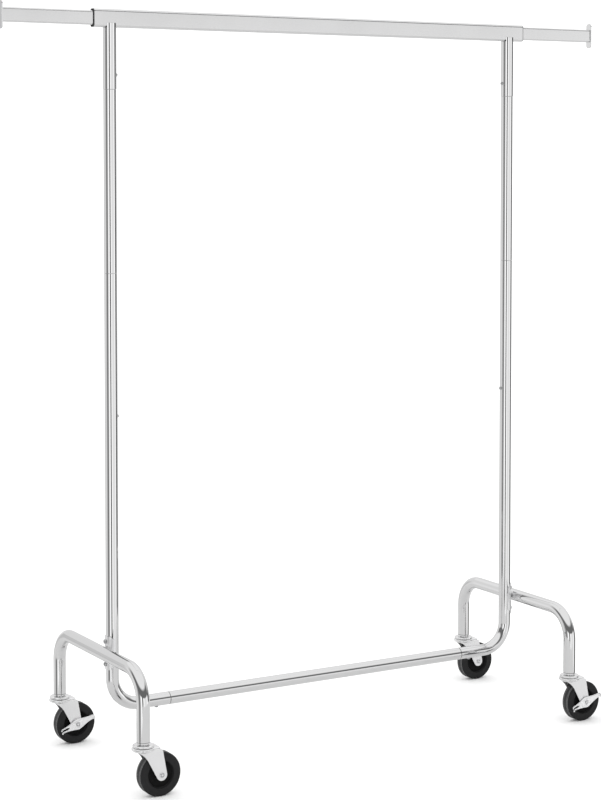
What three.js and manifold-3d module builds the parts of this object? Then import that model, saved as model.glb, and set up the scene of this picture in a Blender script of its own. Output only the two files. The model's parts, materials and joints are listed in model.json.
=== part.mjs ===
// Rolling clothes rack: a chromed tube frame on two side bases with four swivel casters, and a
// rectangular hang rail with a sliding extension rod at each end. Millimetres, +Z up.
// X runs along the hang rail, -Y is the front, and the origin is on the floor at the middle.
import * as THREE from 'three';
import { mergeVertices } from 'three/addons/utils/BufferGeometryUtils.js';
import Module from 'manifold-3d';

const wasm = await Module();
wasm.setup();

// Overall layout
const POST_SPACING = 1120;        // centre to centre of the two posts
const BASE_DEPTH = 464;           // centre to centre of a side base's two legs
const RAIL_AXIS_HEIGHT = 1738;    // middle of the hang rail
const STUB_LENGTH = 141;          // welded stub below the hang rail
const UPPER_POST_LENGTH = 422;    // upper post showing between the stub and the corner tube
const BASE_BAR_HEIGHT = 278;      // axis of a side base's cross bar
const BOTTOM_RAIL_DROP = 133;     // bottom rail's axis below the base bar's
const CORNER_ARM = 144;           // from a post's axis to its seam with the bottom rail
const FIT = 0.3;                  // gap left between faces that touch
const SLIDE = 0.4;                // gap round a piece that slides or turns

// Round tube
const TUBE_RADIUS = 15;
const TUBE_WALL = 1.2;
const STUB_OVERSIZE = 0.7;        // stub's radius over the tube's
const STUB_WALL = 1.4;
const CORNER_BEND = 66;           // centreline radius of the corner tube
const BASE_BEND = 70;             // centreline radius of the side base
const SWAGE_LENGTH = 62;          // length of a reduced tube end
const SWAGE_STEP = 1.5;           // length of the taper to the reduced end
const SLEEVE_RISE = 60;           // inner sleeve above the post joint
const SLEEVE_TAIL = 32;           // inner sleeve below its screw
const SLEEVE_WALL = 1.5;
const TUBE_SIDES = 16;
const BEND_STEPS = 5;

// Hang rail and its extension rods
const RAIL_OVERHANG = 42;         // rail beyond a post's axis
const RAIL_HEIGHT = 42;
const RAIL_WIDTH = 21;
const RAIL_CORNER = 6.5;
const RAIL_WALL = 1.5;
const STUB_EAR = 10;              // how far the notched stub rises up the rail's sides
const ROD_CORNER = 4.5;
const ROD_WALL = 1.2;
const ROD_REACH = 220.2;           // rod showing outside the bushing when pulled out
const END_PLATE = { height: 64, width: 20, corner: 8, thickness: 3 };
const BUSHING_WALL = { tall: 2.3, wide: 1.3 };
const BUSHING_FLANGE = 0.8;
const BUSHING_SLEEVE = 110;       // also the stop that the rod guide meets
const GUIDE_LENGTH = 28;
const GUIDE_PLUG = 20;

// Saddle plates and fasteners
const SADDLE_HEIGHT = 78;
const SADDLE_DROP = 5;            // saddle's centre below the base bar's axis
const SADDLE_THICKNESS = 2.2;
const SADDLE_BOLT_SPACING = 53;
const BOLT = { shank: 3, head: 5.5, headHeight: 3.6, length: 18 };
const SCREW = { shank: 2.5, head: 4.4, headHeight: 2.8, length: 9 };
const STUB_SCREW_RISE = 33;       // screw above the stub's lower end
const MID_SCREW_DROP = 331;       // screw below the post joint
const RAIL_SCREW_SETBACK = 31;    // screw beyond the bottom rail's seam
const FASTENER_SIDES = 12;

// Casters, stacked from the floor: wheel, fork, seat, collar, socket flange, leg
const WHEEL_RADIUS = 50;
const WHEEL_WIDTH = 27;
const WHEEL_SIDES = 20;
const TREAD_BEVEL = 3;
const DISH_RADIUS = 32;
const DISH_DEPTH = 5.5;
const HUB_RADIUS = 12;
const HUB_PROUD = 1.5;            // hub standing out of each side of the wheel
const BUSH_RADIUS = 6.5;
const AXLE_RADIUS = 4;
const AXLE_HEAD = { radius: 5.8, height: 2.2 };
const CASTER_TRAIL = 37;
const CROWN_CLEARANCE = 6;        // above the wheel
const CROWN_HEIGHT = 6;           // from the race's underside to the top of the crown plate
const CROWN_PLATE = 2.4;
const RACE_RADIUS = 26;
const RACE_HEIGHT = 8;
const FORK_PLATE = 2.2;
const HUB_CLEARANCE = 1;          // between the hub and each fork leg
const FORK_FOOT = 13;             // radius of the round end of a fork leg
const FORK_FRONT = 18;            // crown plate ahead of the stem
const SEAT_RADIUS = 24;
const SEAT_HEIGHT = 6;
const SEAT_GAP = 0.8;             // groove between the race and the seat
const COLLAR_RADIUS = 14;
const COLLAR_HEIGHT = 4.2;
const KINGPIN_HEAD = { radius: 8.5, height: 2.5 };
const STEM_RADIUS = 5.5;
const STEM_LENGTH = 40;
const SOCKET_LENGTH = 44;
const SOCKET_FLANGE = 0.5;

// Brake lever
const LEVER_LENGTH = 92;
const LEVER_WIDTH = 26;
const LEVER_TIP = 9;              // width of the lever at its ends
const LEVER_PLATE = 2;
const LEVER_PAD = 8;              // how far the foot pads stand out from the plate
const LEVER_TILT = 18;            // degrees, the end beyond the wheel up
const RAMP_WASHER = { radius: 9, thickness: 1.6 };

// Sizes and places that follow from those above
const tubeBore = TUBE_RADIUS - TUBE_WALL;
const stubRadius = TUBE_RADIUS + STUB_OVERSIZE;
const stubBore = stubRadius - STUB_WALL;
const swageRadius = stubBore - FIT;
const sleeveRadius = tubeBore - FIT;
const screwHole = SCREW.shank + FIT;
const boltHole = BOLT.shank + FIT;
const halfSpacing = POST_SPACING / 2;
const halfDepth = BASE_DEPTH / 2;
const cornerEnd = halfSpacing - CORNER_ARM;
const railEnd = halfSpacing + RAIL_OVERHANG;
const railUnderside = RAIL_AXIS_HEIGHT - RAIL_HEIGHT / 2;
const stubEnd = railUnderside - STUB_LENGTH;
const stubScrewHeight = stubEnd + STUB_SCREW_RISE;
const postJoint = stubEnd - UPPER_POST_LENGTH;
const midScrewHeight = postJoint - MID_SCREW_DROP;
const bottomRailHeight = BASE_BAR_HEIGHT - BOTTOM_RAIL_DROP;
const saddleCentre = BASE_BAR_HEIGHT - SADDLE_DROP;
const railScrewPlace = cornerEnd + RAIL_SCREW_SETBACK;
const saddleInner = TUBE_RADIUS + FIT;
const saddleOuter = saddleInner + SADDLE_THICKNESS;
const barOffset = halfSpacing + saddleOuter + FIT + TUBE_RADIUS;
const boltHeights = [-0.5, 0.5].map((step) => saddleCentre + step * SADDLE_BOLT_SPACING);
const bushingEnd = railEnd + FIT + BUSHING_FLANGE;
const plateInner = bushingEnd + ROD_REACH;
const rodInner = railEnd - BUSHING_SLEEVE - SLIDE;
const bushingGap = RAIL_WALL + FIT;
const rodHeight = RAIL_HEIGHT - 2 * (bushingGap + BUSHING_WALL.tall + SLIDE);
const rodWidth = RAIL_WIDTH - 2 * (bushingGap + BUSHING_WALL.wide + SLIDE);
const raceBottom = 2 * WHEEL_RADIUS + CROWN_CLEARANCE;
const crownTop = raceBottom + CROWN_HEIGHT;
const seatBottom = raceBottom + RACE_HEIGHT + SEAT_GAP;
const seatTop = seatBottom + SEAT_HEIGHT;
const collarTop = seatTop + COLLAR_HEIGHT;
const socketBottom = collarTop + FIT;
const legBottom = socketBottom + SOCKET_FLANGE + FIT;
const hubHalf = WHEEL_WIDTH / 2 + HUB_PROUD;
const forkInner = hubHalf + HUB_CLEARANCE;
const forkOuter = forkInner + FORK_PLATE;
const washerInner = forkOuter + FIT;
const leverInner = washerInner + RAMP_WASHER.thickness + FIT;

const finishes = {
  chrome: { color: 0xd8d9db, roughness: 0.12, metalness: 1 },
  zinc: { color: 0xc9cbcd, roughness: 0.32, metalness: 1 },
  rubber: { color: 0x262628, roughness: 0.62, metalness: 0 },
  plastic: { color: 0x18181a, roughness: 0.5, metalness: 0 },
};

// Solid from a geometry: shared vertices merged, flat triangles dropped, faces turned outward
function solid(geometry) {
  const bare = new THREE.BufferGeometry();
  bare.setAttribute('position', geometry.getAttribute('position').clone());
  bare.setIndex(geometry.getIndex());
  const merged = mergeVertices(bare, 1e-4);
  const points = merged.getAttribute('position');
  const index = merged.getIndex().array;
  const triangles = [];
  let volume = 0;
  for (let i = 0; i < index.length; i += 3) {
    const corners = [index[i], index[i + 1], index[i + 2]];
    if (new Set(corners).size < 3) continue;
    const [a, b, c] = corners.map((k) => new THREE.Vector3().fromBufferAttribute(points, k));
    volume += a.dot(b.cross(c));
    triangles.push(...corners);
  }
  if (volume < 0) triangles.reverse();
  return new wasm.Manifold(new wasm.Mesh({
    numProp: 3,
    vertProperties: new Float32Array(points.array),
    triVerts: new Uint32Array(triangles),
  }));
}

function join(...geometries) {
  return geometries.map(solid).reduce((whole, piece) => whole.add(piece));
}

function cut(body, ...cutters) {
  return cutters.reduce((rest, cutter) => rest.subtract(solid(cutter)), body);
}

// Shell or solid turned about Z from [radius, height] pairs
function turned(profile, sides = TUBE_SIDES) {
  return turnedAcross(profile, sides).rotateX(Math.PI / 2);
}

// The same about Y, as wheels and axles are
function turnedAcross(profile, sides = TUBE_SIDES) {
  const outline = profile.map(([radius, height]) => new THREE.Vector2(radius, height));
  return new THREE.LatheGeometry(outline, sides);
}

function ringProfile(outer, inner, low, high) {
  return [[outer, low], [outer, high], [inner, high], [inner, low], [outer, low]];
}

// Round cutter along 'x', 'y' or 'z' through a centre
function drill(radius, length, axis, x, y, z) {
  const geometry = new THREE.CylinderGeometry(radius, radius, length, FASTENER_SIDES);
  if (axis === 'x') geometry.rotateZ(Math.PI / 2);
  if (axis === 'z') geometry.rotateX(Math.PI / 2);
  return geometry.translate(x, y, z);
}

// Straight runs joined by round bends, with a station at each end of a run and along each bend
class BentRoute extends THREE.Curve {
  constructor(corners, bendRadius) {
    super();
    this.stations = [corners[0]];
    this.tangents = [corners[1].clone().sub(corners[0]).normalize()];
    for (let i = 1; i < corners.length - 1; i += 1) {
      this.addBend(corners[i - 1], corners[i], corners[i + 1], bendRadius);
    }
    this.stations.push(corners.at(-1));
    this.tangents.push(corners.at(-1).clone().sub(corners.at(-2)).normalize());
    this.steps = this.stations.length - 1;
  }

  addBend(previous, corner, next, radius) {
    const before = corner.clone().sub(previous).normalize();
    const after = next.clone().sub(corner).normalize();
    const turn = before.angleTo(after);
    const inward = after.clone().addScaledVector(before, -Math.cos(turn)).normalize();
    const start = corner.clone().addScaledVector(before, -radius * Math.tan(turn / 2));
    const centre = start.addScaledVector(inward, radius);
    for (let step = 0; step <= BEND_STEPS; step += 1) {
      const angle = turn * step / BEND_STEPS;
      this.stations.push(centre.clone()
        .addScaledVector(inward, -radius * Math.cos(angle))
        .addScaledVector(before, radius * Math.sin(angle)));
      this.tangents.push(before.clone()
        .multiplyScalar(Math.cos(angle))
        .addScaledVector(inward, Math.sin(angle)));
    }
  }

  between(values, t) {
    const low = Math.min(Math.floor(t * this.steps + 1e-9), this.steps - 1);
    return values[low].clone().lerp(values[low + 1], t * this.steps - low);
  }

  getPoint(t) {
    return this.between(this.stations, t);
  }

  getPointAt(u) {
    return this.getPoint(u);
  }

  getTangentAt(u) {
    return this.between(this.tangents, u).normalize();
  }
}

function bentTube(corners, bendRadius) {
  const route = new BentRoute(corners.map((corner) => new THREE.Vector3(...corner)), bendRadius);
  const section = new THREE.Shape().absarc(0, 0, TUBE_RADIUS, 0, 2 * Math.PI);
  section.holes.push(new THREE.Path().absarc(0, 0, tubeBore, 0, 2 * Math.PI, true));
  return solid(new THREE.ExtrudeGeometry(section, {
    extrudePath: route,
    steps: route.steps,
    curveSegments: TUBE_SIDES / 2,
    bevelEnabled: false,
  }));
}

// Tube along Z with one full-size run, and a reduced end wherever an end height is given
function reducedTube(reduced, [low, high], [lowEnd, highEnd]) {
  const lowStep = lowEnd === null ? 0 : SWAGE_STEP;
  const highStep = highEnd === null ? 0 : SWAGE_STEP;
  const bore = reduced - TUBE_WALL;
  const outer = [[TUBE_RADIUS, low + lowStep], [TUBE_RADIUS, high - highStep]];
  const inner = [[tubeBore, high - 2 * highStep], [tubeBore, low + 2 * lowStep]];
  if (highEnd !== null) {
    outer.push([reduced, high], [reduced, highEnd]);
    inner.unshift([bore, highEnd], [bore, high - highStep]);
  }
  if (lowEnd !== null) {
    outer.unshift([reduced, lowEnd], [reduced, low]);
    inner.push([bore, low + lowStep], [bore, lowEnd]);
  }
  return turned([...outer, ...inner, outer[0]]);
}

function roundedRectangle(Outline, height, width, corner) {
  const h = height / 2 - corner;
  const w = width / 2 - corner;
  const outline = new Outline();
  outline.absarc(h, w, corner, 0, Math.PI / 2);
  outline.absarc(-h, w, corner, Math.PI / 2, Math.PI);
  outline.absarc(-h, -w, corner, Math.PI, 1.5 * Math.PI);
  outline.absarc(h, -w, corner, 1.5 * Math.PI, 2 * Math.PI);
  return outline;
}

// Bar of rounded rectangular section along X, hollow where a wall is given
function bar({ height, width, corner, wall = 0, start, end }) {
  const section = roundedRectangle(THREE.Shape, height, width, corner);
  if (wall) {
    const inside = [height - 2 * wall, width - 2 * wall, Math.max(corner - wall, 0.5)];
    section.holes.push(roundedRectangle(THREE.Path, ...inside));
  }
  const options = { depth: end - start, curveSegments: 2, bevelEnabled: false };
  return new THREE.ExtrudeGeometry(section, options)
    .rotateY(Math.PI / 2)
    .translate(start, 0, 0);
}

// Flat shape drawn in X and Z, with its thickness along Y between two places
function plateAcross(shape, near, far, curveSegments = 3) {
  const options = { depth: far - near, curveSegments, bevelEnabled: false };
  return new THREE.ExtrudeGeometry(shape, options)
    .rotateX(Math.PI / 2)
    .translate(0, far, 0);
}

// Welded stub under the hang rail, notched so that two ears hold the rail's sides
function railStub(inboard) {
  const tube = turned(ringProfile(stubRadius, stubBore, stubEnd, railUnderside + STUB_EAR));
  const notch = bar({
    height: RAIL_HEIGHT + 2 * FIT,
    width: RAIL_WIDTH + 2 * FIT,
    corner: RAIL_CORNER + FIT,
    start: -2 * stubRadius,
    end: 2 * stubRadius,
  }).translate(0, 0, RAIL_AXIS_HEIGHT);
  const hole = drill(screwHole, TUBE_RADIUS, 'x', inboard * stubRadius, 0, stubScrewHeight);
  return cut(solid(tube), notch, hole);
}

// Upper post: its top end is reduced to slip into the stub
function upperPost(inboard) {
  const run = [postJoint + FIT, stubEnd - FIT];
  const tube = reducedTube(swageRadius, run, [null, stubEnd + SWAGE_LENGTH]);
  return cut(solid(tube), drill(screwHole, TUBE_RADIUS, 'x', inboard * TUBE_RADIUS, 0, stubScrewHeight));
}

// Sleeve inside the post joint, from the upper post down past the mid screw
function innerSleeve(inboard) {
  const bottom = midScrewHeight - SLEEVE_TAIL;
  const top = postJoint + SLEEVE_RISE;
  const tube = turned(ringProfile(sleeveRadius, sleeveRadius - SLEEVE_WALL, bottom, top));
  return cut(solid(tube), drill(screwHole, TUBE_RADIUS, 'x', inboard * TUBE_RADIUS, 0, midScrewHeight));
}

// Corner tube: runs down from the post joint, then bends in to meet the bottom rail
function cornerTube(side) {
  const armEnd = side * (cornerEnd + FIT - halfSpacing);
  const tube = bentTube([
    [0, 0, postJoint - FIT],
    [0, 0, bottomRailHeight],
    [armEnd, 0, bottomRailHeight],
  ], CORNER_BEND);
  const underside = bottomRailHeight - TUBE_RADIUS;
  const railScrewX = side * (railScrewPlace - halfSpacing);
  return cut(tube,
    drill(screwHole, TUBE_RADIUS, 'x', -side * TUBE_RADIUS, 0, midScrewHeight),
    drill(screwHole, TUBE_RADIUS, 'z', railScrewX, 0, underside),
    ...boltHeights.map((height) => drill(boltHole, TUBE_RADIUS, 'x', side * TUBE_RADIUS, 0, height)));
}

// Bottom rail: both ends are reduced to slip into the corner tubes
function bottomRail() {
  const tip = cornerEnd + SWAGE_LENGTH;
  const tube = reducedTube(sleeveRadius, [-cornerEnd, cornerEnd], [-tip, tip]);
  const holes = [-1, 1].map((side) => (
    drill(screwHole, TUBE_RADIUS, 'z', side * railScrewPlace, 0, -TUBE_RADIUS)));
  return cut(solid(tube.rotateY(Math.PI / 2)), ...holes);
}

// Side base: one tube bent into an upside-down U, from leg to leg
function sideBase() {
  return bentTube([
    [0, -halfDepth, legBottom],
    [0, -halfDepth, BASE_BAR_HEIGHT],
    [0, halfDepth, BASE_BAR_HEIGHT],
    [0, halfDepth, legBottom],
  ], BASE_BEND);
}

// Half-round plate welded to the side base and bolted round the outboard half of the post
function saddlePlate(side) {
  const section = new THREE.Shape()
    .absarc(0, 0, saddleOuter, -Math.PI / 2, Math.PI / 2)
    .absarc(0, 0, saddleInner, Math.PI / 2, -Math.PI / 2, true);
  const options = { depth: SADDLE_HEIGHT, curveSegments: TUBE_SIDES / 2, bevelEnabled: false };
  const plate = new THREE.ExtrudeGeometry(section, options)
    .translate(0, 0, saddleCentre - SADDLE_HEIGHT / 2)
    .rotateZ(side > 0 ? 0 : Math.PI);
  return cut(solid(plate), ...boltHeights.map((height) => (
    drill(boltHole, TUBE_RADIUS, 'x', side * saddleOuter, 0, height))));
}

// Insert in the bottom of a leg that grips the caster's stem
function legSocket() {
  const bore = STEM_RADIUS + FIT;
  const top = socketBottom + SOCKET_LENGTH;
  return turned([
    [bore, socketBottom],
    [TUBE_RADIUS - FIT, socketBottom],
    [TUBE_RADIUS - FIT, socketBottom + SOCKET_FLANGE],
    [sleeveRadius, socketBottom + SOCKET_FLANGE],
    [sleeveRadius, top],
    [bore, top],
    [bore, socketBottom],
  ]);
}

// Domed screw or bolt along Z, with the underside of its head at height 0
function fastener({ shank, head, headHeight, length }) {
  return turned([
    [0, -length],
    [shank, -length],
    [shank, 0],
    [head, 0],
    [head, headHeight * 0.35],
    [head * 0.7, headHeight * 0.85],
    [0, headHeight],
  ], FASTENER_SIDES);
}

// Plastic bushing pressed into the rail's end, with a flange over the end face
function railBushing() {
  const flange = {
    height: RAIL_HEIGHT, width: RAIL_WIDTH, corner: RAIL_CORNER,
    start: railEnd + FIT, end: bushingEnd,
  };
  const sleeve = {
    height: RAIL_HEIGHT - 2 * bushingGap,
    width: RAIL_WIDTH - 2 * bushingGap,
    corner: RAIL_CORNER - bushingGap,
    start: railEnd - BUSHING_SLEEVE,
    end: railEnd + 2 * FIT,
  };
  const opening = {
    height: rodHeight + 2 * SLIDE, width: rodWidth + 2 * SLIDE, corner: ROD_CORNER + SLIDE,
    start: sleeve.start - 1, end: flange.end + 1,
  };
  return cut(join(bar(flange), bar(sleeve)), bar(opening));
}

function extensionRod() {
  return bar({
    height: rodHeight, width: rodWidth, corner: ROD_CORNER, wall: ROD_WALL,
    start: rodInner, end: plateInner - FIT,
  });
}

function endPlate() {
  return bar({ ...END_PLATE, start: plateInner, end: plateInner + END_PLATE.thickness });
}

// Plastic block on the rod's inner end that slides in the rail, with a plug inside the rod
function rodGuide() {
  const gap = RAIL_WALL + SLIDE;
  const block = {
    height: RAIL_HEIGHT - 2 * gap, width: RAIL_WIDTH - 2 * gap, corner: RAIL_CORNER - gap,
    start: rodInner - FIT - GUIDE_LENGTH, end: rodInner - FIT,
  };
  const fill = ROD_WALL + FIT;
  const plug = {
    height: rodHeight - 2 * fill, width: rodWidth - 2 * fill, corner: ROD_CORNER - fill,
    start: block.end - 1, end: rodInner + GUIDE_PLUG,
  };
  return join(bar(block), bar(plug));
}

// Fixed half of a caster: grip stem, collar, domed seat and the kingpin riveted under the race
function casterSeat() {
  const headTop = raceBottom - SLIDE;
  return turned([
    [0, headTop - KINGPIN_HEAD.height],
    [KINGPIN_HEAD.radius, headTop - KINGPIN_HEAD.height],
    [KINGPIN_HEAD.radius, headTop],
    [STEM_RADIUS, headTop],
    [STEM_RADIUS, seatBottom],
    [SEAT_RADIUS, seatBottom],
    [SEAT_RADIUS, seatBottom + SEAT_HEIGHT / 2],
    [SEAT_RADIUS - SEAT_HEIGHT / 2, seatTop],
    [COLLAR_RADIUS, seatTop],
    [COLLAR_RADIUS, collarTop],
    [STEM_RADIUS, collarTop],
    [STEM_RADIUS, collarTop + STEM_LENGTH],
    [0, collarTop + STEM_LENGTH],
  ]);
}

// Place on a round foot where a straight edge from a far point leaves it
function tangentAngle(centre, radius, point, turn) {
  const reach = point.clone().sub(centre);
  return reach.angle() + turn * Math.acos(radius / reach.length());
}

function forkLegShape() {
  const foot = new THREE.Vector2(CASTER_TRAIL, WHEEL_RADIUS);
  const rearTop = new THREE.Vector2(CASTER_TRAIL - 1.5, crownTop);
  const frontTop = new THREE.Vector2(-FORK_FRONT, crownTop);
  const shoulder = new THREE.Vector2(-FORK_FRONT, raceBottom - 2);
  const waist = new THREE.Vector2(-FORK_FRONT + 16, raceBottom - CROWN_CLEARANCE * 2);
  const rear = tangentAngle(foot, FORK_FOOT, rearTop, -1);
  const front = tangentAngle(foot, FORK_FOOT, waist, 1) - 2 * Math.PI;
  const shape = new THREE.Shape();
  shape.moveTo(frontTop.x, frontTop.y);
  shape.lineTo(rearTop.x, rearTop.y);
  shape.absarc(foot.x, foot.y, FORK_FOOT, rear, front, true);
  shape.quadraticCurveTo(waist.x, waist.y, shoulder.x, shoulder.y);
  return shape;
}

// Turning half of a caster: a ball race, a crown plate and two legs pressed as one piece
function casterFork() {
  const leg = forkLegShape();
  const kingpinHole = STEM_RADIUS + SLIDE;
  const race = turned([
    [0, raceBottom],
    [RACE_RADIUS - 2, raceBottom],
    [RACE_RADIUS, raceBottom + RACE_HEIGHT * 0.4],
    [RACE_RADIUS, raceBottom + RACE_HEIGHT * 0.7],
    [RACE_RADIUS - 1.5, raceBottom + RACE_HEIGHT],
    [0, raceBottom + RACE_HEIGHT],
  ]);
  const crownLength = FORK_FRONT + CASTER_TRAIL - 1.5;
  const crown = new THREE.BoxGeometry(crownLength, 2 * forkOuter, CROWN_PLATE)
    .translate(crownLength / 2 - FORK_FRONT, 0, crownTop - CROWN_PLATE / 2);
  const body = join(
    race,
    crown,
    plateAcross(leg, -forkOuter, -forkInner),
    plateAcross(leg, forkInner, forkOuter),
  );
  return cut(body,
    drill(AXLE_RADIUS + FIT, 2 * forkOuter + 2, 'y', CASTER_TRAIL, 0, WHEEL_RADIUS),
    drill(kingpinHole, 4 * RACE_HEIGHT, 'z', 0, 0, raceBottom));
}

// Axle riveted over at both ends, longer where a brake lever rides on it
function casterAxle(braked) {
  const rear = forkOuter + FIT;
  const front = braked ? leverInner + LEVER_PLATE + SLIDE : rear;
  return turnedAcross([
    [0, -front - AXLE_HEAD.height],
    [AXLE_HEAD.radius, -front - AXLE_HEAD.height],
    [AXLE_HEAD.radius, -front],
    [AXLE_RADIUS, -front],
    [AXLE_RADIUS, rear],
    [AXLE_HEAD.radius, rear],
    [AXLE_HEAD.radius, rear + AXLE_HEAD.height],
    [0, rear + AXLE_HEAD.height],
  ], FASTENER_SIDES);
}

// Hard rubber wheel with a dished face and a flat side of its tread on the floor
function casterWheel() {
  const rim = WHEEL_WIDTH / 2;
  const half = [
    [BUSH_RADIUS + FIT, hubHalf],
    [HUB_RADIUS, hubHalf],
    [HUB_RADIUS, rim - DISH_DEPTH],
    [DISH_RADIUS - 2, rim - DISH_DEPTH],
    [DISH_RADIUS, rim],
    [WHEEL_RADIUS - TREAD_BEVEL, rim],
    [WHEEL_RADIUS, rim - TREAD_BEVEL],
  ];
  const otherHalf = half.map(([radius, y]) => [radius, -y]).reverse();
  const grow = 1 / Math.cos(Math.PI / WHEEL_SIDES);
  return turnedAcross([...half, ...otherHalf, half[0]], WHEEL_SIDES)
    .rotateY(Math.PI / WHEEL_SIDES)
    .scale(grow, 1, grow);
}

function hubBush() {
  const half = forkInner - FIT;
  return turnedAcross(ringProfile(BUSH_RADIUS, AXLE_RADIUS + FIT, -half, half));
}

function rampWasher() {
  const { radius, thickness } = RAMP_WASHER;
  const profile = ringProfile(radius, AXLE_RADIUS + FIT, -thickness, 0);
  return turnedAcross(profile).translate(0, -washerInner, 0);
}

// Stamped lever across the axle: a leaf-shaped plate whose two ends curl out into foot pads
function brakeLever() {
  const tip = LEVER_LENGTH / 2;
  const flat = tip - LEVER_PAD;
  const inner = LEVER_PAD - LEVER_PLATE;
  const strip = new THREE.Shape()
    .moveTo(-tip, LEVER_PAD)
    .absarc(-flat, LEVER_PAD, LEVER_PAD, Math.PI, 1.5 * Math.PI)
    .absarc(flat, LEVER_PAD, LEVER_PAD, -0.5 * Math.PI, 0)
    .absarc(flat, LEVER_PAD, inner, 0, -0.5 * Math.PI, true)
    .absarc(-flat, LEVER_PAD, inner, 1.5 * Math.PI, Math.PI, true);
  const options = { depth: 2 * LEVER_WIDTH, curveSegments: 3, bevelEnabled: false };
  const band = new THREE.ExtrudeGeometry(strip, options)
    .translate(0, 0, -LEVER_WIDTH)
    .rotateX(Math.PI)
    .translate(0, -leverInner, 0);
  const reach = tip + 1;
  const leaf = new THREE.Shape()
    .moveTo(-reach, -LEVER_TIP / 2)
    .quadraticCurveTo(-flat, -LEVER_TIP / 2, 0, -LEVER_WIDTH / 2)
    .quadraticCurveTo(flat, -LEVER_TIP / 2, reach, -LEVER_TIP / 2)
    .lineTo(reach, LEVER_TIP / 2)
    .quadraticCurveTo(flat, LEVER_TIP / 2, 0, LEVER_WIDTH / 2)
    .quadraticCurveTo(-flat, LEVER_TIP / 2, -reach, LEVER_TIP / 2);
  const envelope = plateAcross(leaf, -leverInner - LEVER_PAD - 1, -leverInner + 1);
  const blank = solid(band).intersect(solid(envelope));
  return cut(blank, drill(AXLE_RADIUS + FIT, 3 * LEVER_WIDTH, 'y', 0, 0, 0));
}

const rack = new THREE.Group();

// Adds a piece to a group as its own named mesh
function place(parent, name, shape, finish, x = 0, y = 0, z = 0) {
  const body = shape.isBufferGeometry ? solid(shape) : shape;
  const { vertProperties, triVerts } = body.getMesh();
  const geometry = new THREE.BufferGeometry();
  geometry.setAttribute('position', new THREE.BufferAttribute(vertProperties, 3));
  geometry.setIndex(new THREE.BufferAttribute(triVerts, 1));
  geometry.computeVertexNormals();
  const mesh = new THREE.Mesh(geometry, new THREE.MeshStandardMaterial(finishes[finish]));
  mesh.name = name;
  mesh.position.set(x, y, z);
  parent.add(mesh);
  return mesh;
}

// Adds a group to the rack at a place on the floor
function groupAt(x, y) {
  const group = new THREE.Group();
  group.position.set(x, y, 0);
  rack.add(group);
  return group;
}

// Hang rail, bottom rail and everything that stands at the left or the right
const railSection = {
  height: RAIL_HEIGHT, width: RAIL_WIDTH, corner: RAIL_CORNER, wall: RAIL_WALL,
  start: -railEnd, end: railEnd,
};
place(rack, 'rail_tube', bar(railSection), 'chrome', 0, 0, RAIL_AXIS_HEIGHT);
place(rack, 'bottom_rail', bottomRail(), 'chrome', 0, 0, bottomRailHeight);

for (const [name, side] of [['left', -1], ['right', 1]]) {
  const post = groupAt(side * halfSpacing, 0);
  place(post, `${name}_rail_stub`, railStub(-side), 'chrome');
  place(post, `${name}_upper_post`, upperPost(-side), 'chrome');
  place(post, `${name}_inner_sleeve`, innerSleeve(-side), 'zinc');
  place(post, `${name}_corner_tube`, cornerTube(side), 'chrome');
  place(post, `${name}_saddle_plate`, saddlePlate(side), 'chrome');

  const headGap = FIT / 2;
  const inboardTurn = -side * Math.PI / 2;
  const stubScrew = place(post, `${name}_stub_screw`, fastener(SCREW), 'zinc',
    -side * (stubRadius + headGap), 0, stubScrewHeight);
  const midScrew = place(post, `${name}_mid_screw`, fastener(SCREW), 'zinc',
    -side * (TUBE_RADIUS + headGap), 0, midScrewHeight);
  const railScrew = place(post, `${name}_bottom_rail_screw`, fastener(SCREW), 'zinc',
    side * (railScrewPlace - halfSpacing), 0, bottomRailHeight - TUBE_RADIUS - headGap);
  stubScrew.rotation.y = inboardTurn;
  midScrew.rotation.y = inboardTurn;
  railScrew.rotation.x = Math.PI;
  boltHeights.forEach((height, i) => {
    const bolt = place(post, `${name}_saddle_bolt_${['lower', 'upper'][i]}`, fastener(BOLT), 'zinc',
      side * (saddleOuter + headGap), 0, height);
    bolt.rotation.y = -inboardTurn;
  });

  const end = new THREE.Group();
  end.position.set(0, 0, RAIL_AXIS_HEIGHT);
  end.rotation.z = side > 0 ? 0 : Math.PI;
  rack.add(end);
  place(end, `${name}_rail_bushing`, railBushing(), 'plastic');
  place(end, `${name}_extension_rod`, extensionRod(), 'chrome');
  place(end, `${name}_end_plate`, endPlate(), 'chrome');
  place(end, `${name}_rod_guide`, rodGuide(), 'plastic');

  place(groupAt(side * barOffset, 0), `${name}_side_base`, sideBase(), 'chrome');
}

// Casters: all trail towards +X, and one on each side has a brake on its front face
for (const [name, sideX, sideY, braked] of [
  ['front_left', -1, -1, false],
  ['rear_left', -1, 1, true],
  ['front_right', 1, -1, true],
  ['rear_right', 1, 1, false],
]) {
  const caster = groupAt(sideX * barOffset, sideY * halfDepth);
  const onAxle = [CASTER_TRAIL, 0, WHEEL_RADIUS];
  place(caster, `${name}_leg_socket`, legSocket(), 'plastic');
  place(caster, `${name}_caster_seat`, casterSeat(), 'zinc');
  place(caster, `${name}_fork`, casterFork(), 'zinc');
  place(caster, `${name}_axle`, casterAxle(braked), 'zinc', ...onAxle);
  place(caster, `${name}_wheel`, casterWheel(), 'rubber', ...onAxle);
  place(caster, `${name}_hub_bush`, hubBush(), 'plastic', ...onAxle);
  if (braked) {
    place(caster, `${name}_ramp_washer`, rampWasher(), 'zinc', ...onAxle);
    const lever = place(caster, `${name}_brake_lever`, brakeLever(), 'zinc', ...onAxle);
    lever.rotation.y = -THREE.MathUtils.degToRad(LEVER_TILT);
  }
}

export default rack;
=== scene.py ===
import json
import math

import bmesh
import bpy
from mathutils import Matrix, Vector


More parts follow.
